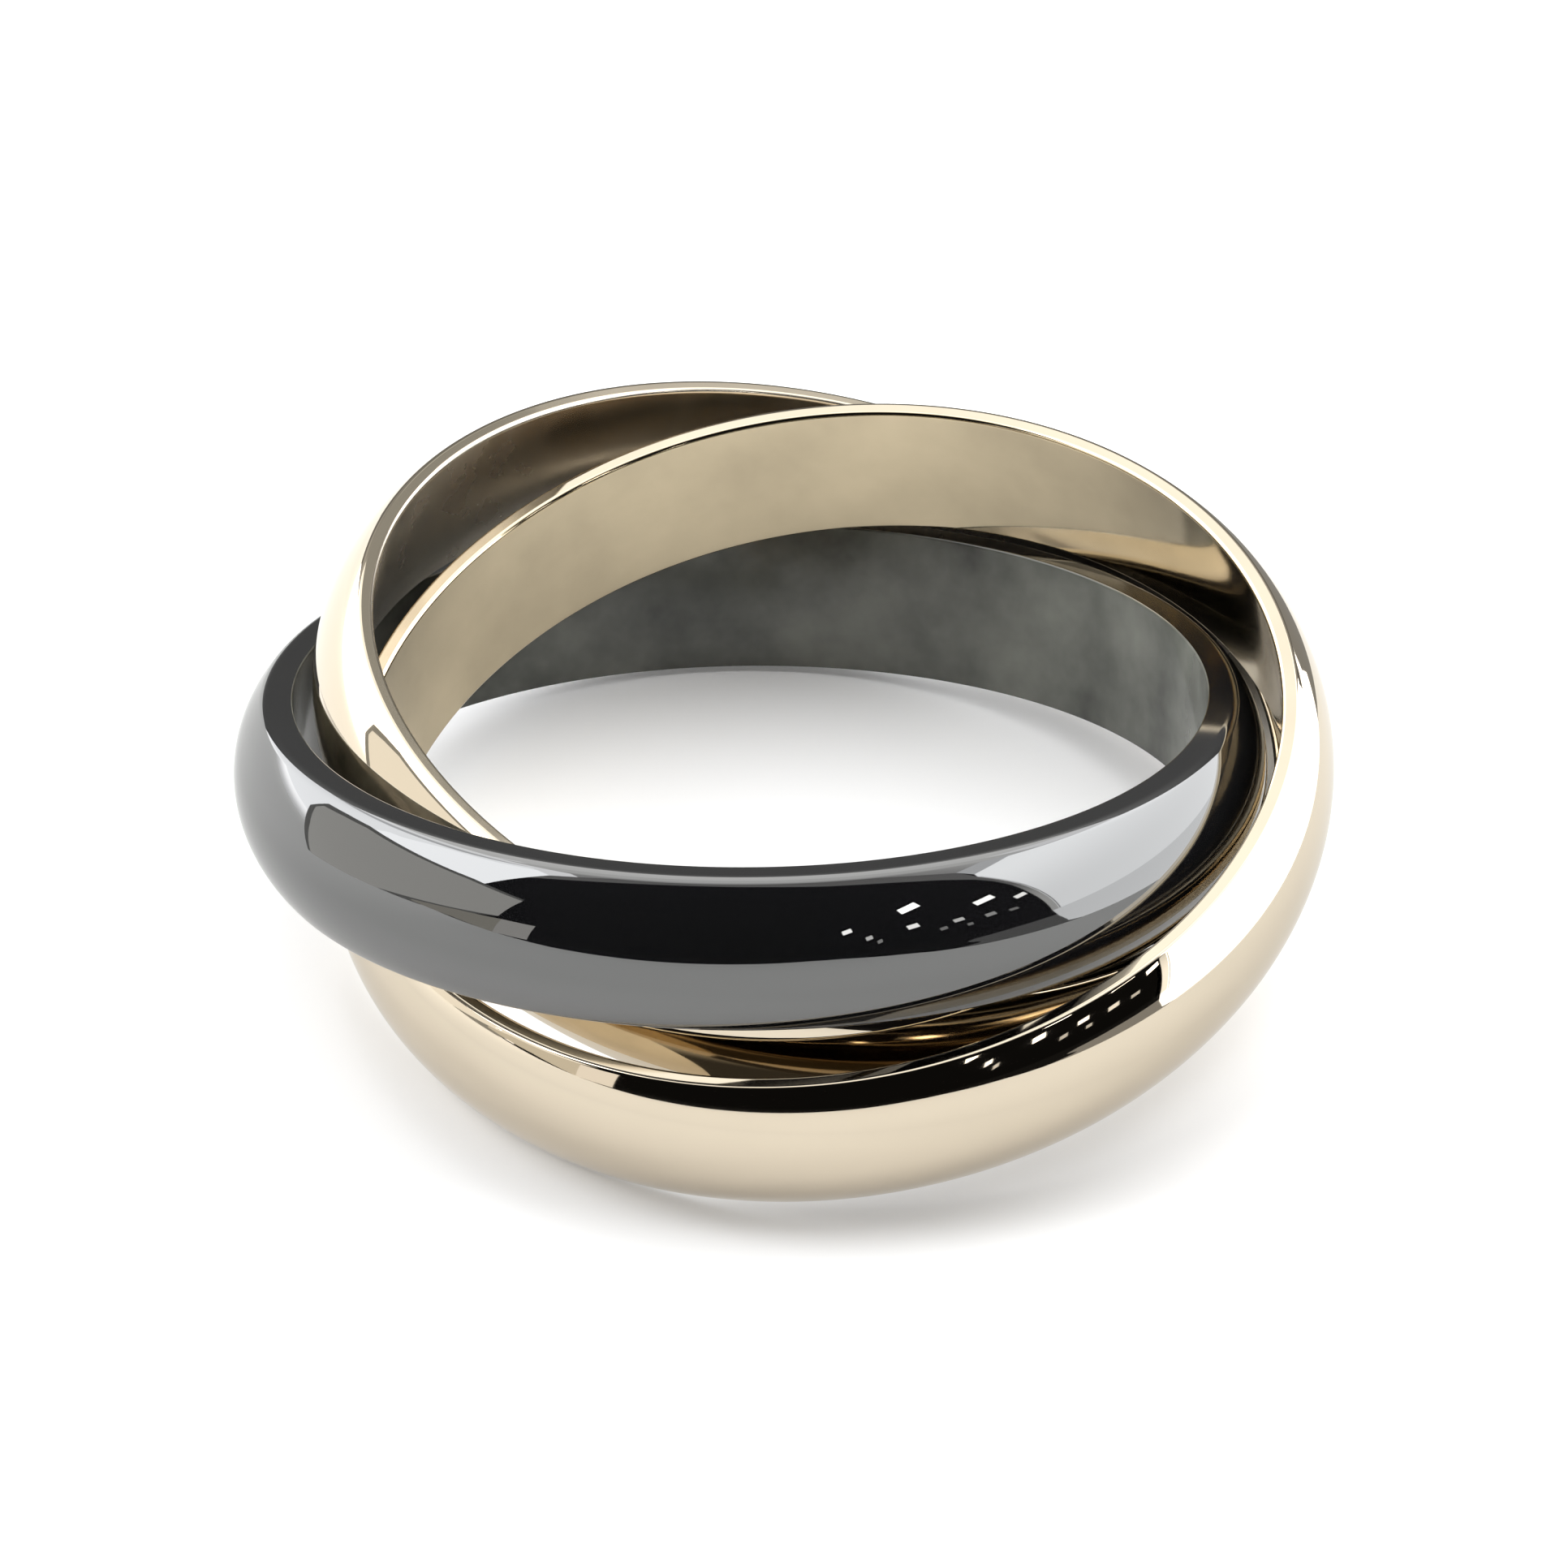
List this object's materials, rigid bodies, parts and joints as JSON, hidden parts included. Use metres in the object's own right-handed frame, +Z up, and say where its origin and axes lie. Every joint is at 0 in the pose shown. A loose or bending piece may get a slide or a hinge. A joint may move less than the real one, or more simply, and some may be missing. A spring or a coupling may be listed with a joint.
{
  "type": "rolling ring of ceramic and white gold bands",
  "caption": "Rolling finger ring: interlinked domed bands, one of black ceramic and the others of polished white gold, lying flat as if just set down.",
  "frame": {"origin": "on the surface that the ring lies on, under the middle of its bounding box", "axes": "+Z up, along the way a finger would go through; -Y toward the camera of the picture; +X to its right"},
  "size_m": [0.0226, 0.0222, 0.0079],
  "materials": {
    "black_ceramic": "mirror polished, near black",
    "white_gold": "mirror polished, pale champagne white gold"
  },
  "bodies": {
    "ceramic": {"ceramic_band": "black_ceramic"},
    "gold_left": {"white_gold_band_left": "white_gold"},
    "gold_front": {"white_gold_band_front": "white_gold"}
  },
  "joints": [
    {"name": "left_band_turn", "type": "hinge", "parent": "ceramic", "child": "gold_left", "pos_m": [0.00056, 0.00075, 0.00378], "axis": [0.2135, -0.0469, 0.9758], "continuous": true},
    {"name": "front_band_turn", "type": "hinge", "parent": "ceramic", "child": "gold_front", "pos_m": [0.00094, -0.00083, 0.00363], "axis": [-0.1336, -0.1531, 0.9791], "continuous": true}
  ]
}
